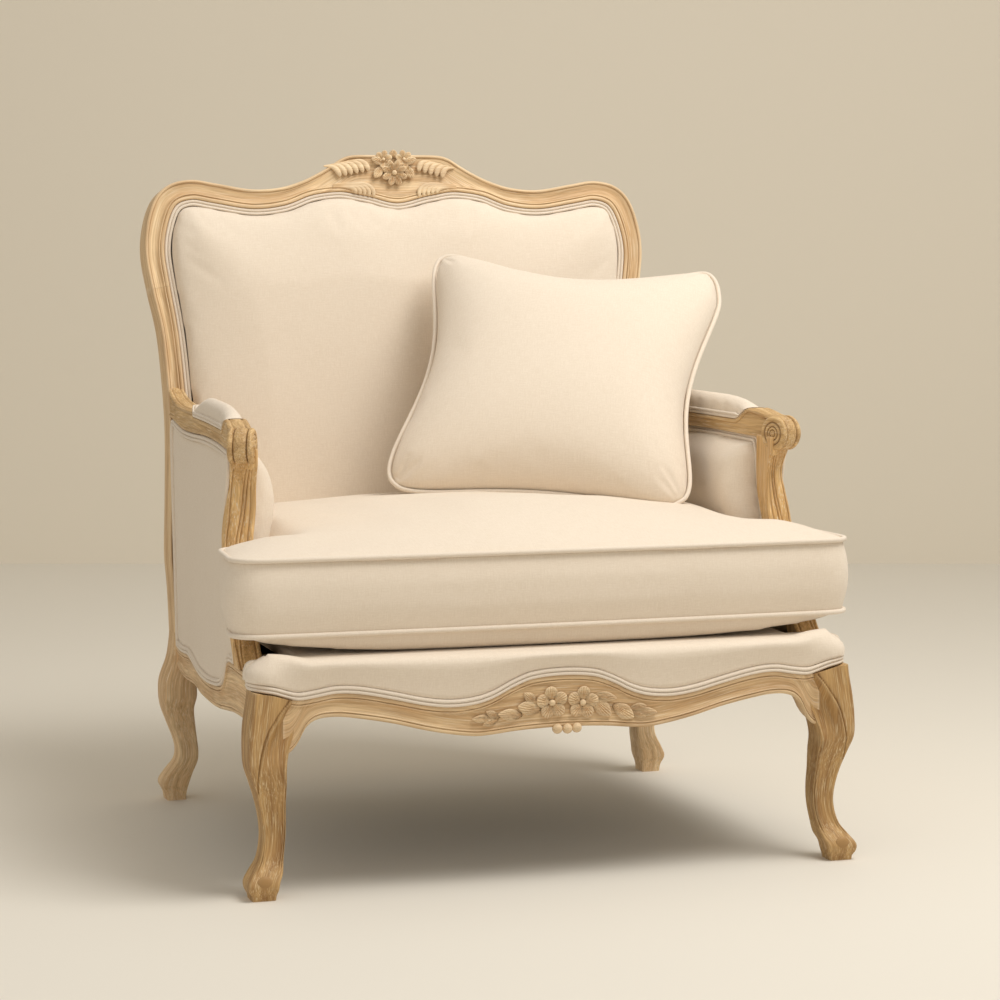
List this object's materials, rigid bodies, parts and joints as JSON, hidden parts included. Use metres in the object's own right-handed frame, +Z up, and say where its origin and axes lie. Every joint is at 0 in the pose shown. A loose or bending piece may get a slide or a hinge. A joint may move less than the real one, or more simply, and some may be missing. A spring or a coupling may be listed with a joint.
{
  "type": "upholstered armchair",
  "caption": "Wide carved-frame armchair with cabriole legs, upholstered back, sides and arm pads, a loose T-shaped seat cushion and a throw pillow.",
  "frame": {"origin": "on the floor, below the centre of the chair's bounding box", "axes": "+Z up, -Y the way the sitter faces, +X to the right seen from the front"},
  "size_m": [0.918, 0.9062, 1.0238],
  "materials": {
    "oak": "limed, matt",
    "raw_wood": "sawn, unfinished",
    "linen": "plain weave",
    "linen_trim": "plain weave over cord",
    "webbing": "woven jute",
    "dust_cloth": "black non-woven",
    "steel": "zinc plated"
  },
  "bodies": {
    "frame": {"front_apron_rail": "oak", "right_side_rail": "oak", "left_side_rail": "oak", "back_seat_rail": "oak", "lower_back_rail": "raw_wood", "crest_rail": "oak", "right_rear_post": "oak", "left_rear_post": "oak", "right_front_leg": "oak", "left_front_leg": "oak", "right_arm": "oak", "left_arm": "oak", "right_arm_support": "oak", "left_arm_support": "oak", "right_front_corner_block": "raw_wood", "left_front_corner_block": "raw_wood", "right_rear_corner_block": "raw_wood", "left_rear_corner_block": "raw_wood", "right_front_screw": "steel", "left_front_screw": "steel", "right_rear_screw": "steel", "left_rear_screw": "steel", "side_web_1": "webbing", "side_web_2": "webbing", "side_web_3": "webbing", "front_web_1": "webbing", "front_web_2": "webbing", "front_web_3": "webbing", "front_web_4": "webbing", "back_web_1": "webbing", "back_web_2": "webbing", "back_web_3": "webbing", "dust_cover": "dust_cloth", "inside_back_pad": "linen", "inside_back_welt": "linen_trim", "outside_back_panel": "linen", "outside_back_welt": "linen_trim", "right_outside_arm_panel": "linen", "left_outside_arm_panel": "linen", "right_outside_arm_welt": "linen_trim", "left_outside_arm_welt": "linen_trim", "right_inside_arm_pad": "linen", "left_inside_arm_pad": "linen", "right_inside_arm_welt": "linen_trim", "left_inside_arm_welt": "linen_trim", "right_arm_pad": "linen", "left_arm_pad": "linen", "right_arm_pad_welt": "linen_trim", "left_arm_pad_welt": "linen_trim", "seat_deck": "linen", "front_border_pad": "linen", "front_border_welt": "linen_trim"},
    "seat_cushion": {"seat_cushion": "linen", "cushion_top_piping": "linen_trim", "cushion_bottom_piping": "linen_trim"},
    "throw_pillow": {"throw_pillow": "linen", "pillow_piping": "linen_trim"}
  },
  "joints": [
    {"name": "cushion_lift", "type": "slide", "parent": "frame", "child": "seat_cushion", "axis": [0, 0, 1], "range_m": [0, 0.35]},
    {"name": "pillow_lift", "type": "slide", "parent": "seat_cushion", "child": "throw_pillow", "axis": [0, 0, 1], "range_m": [0, 0.25]}
  ]
}
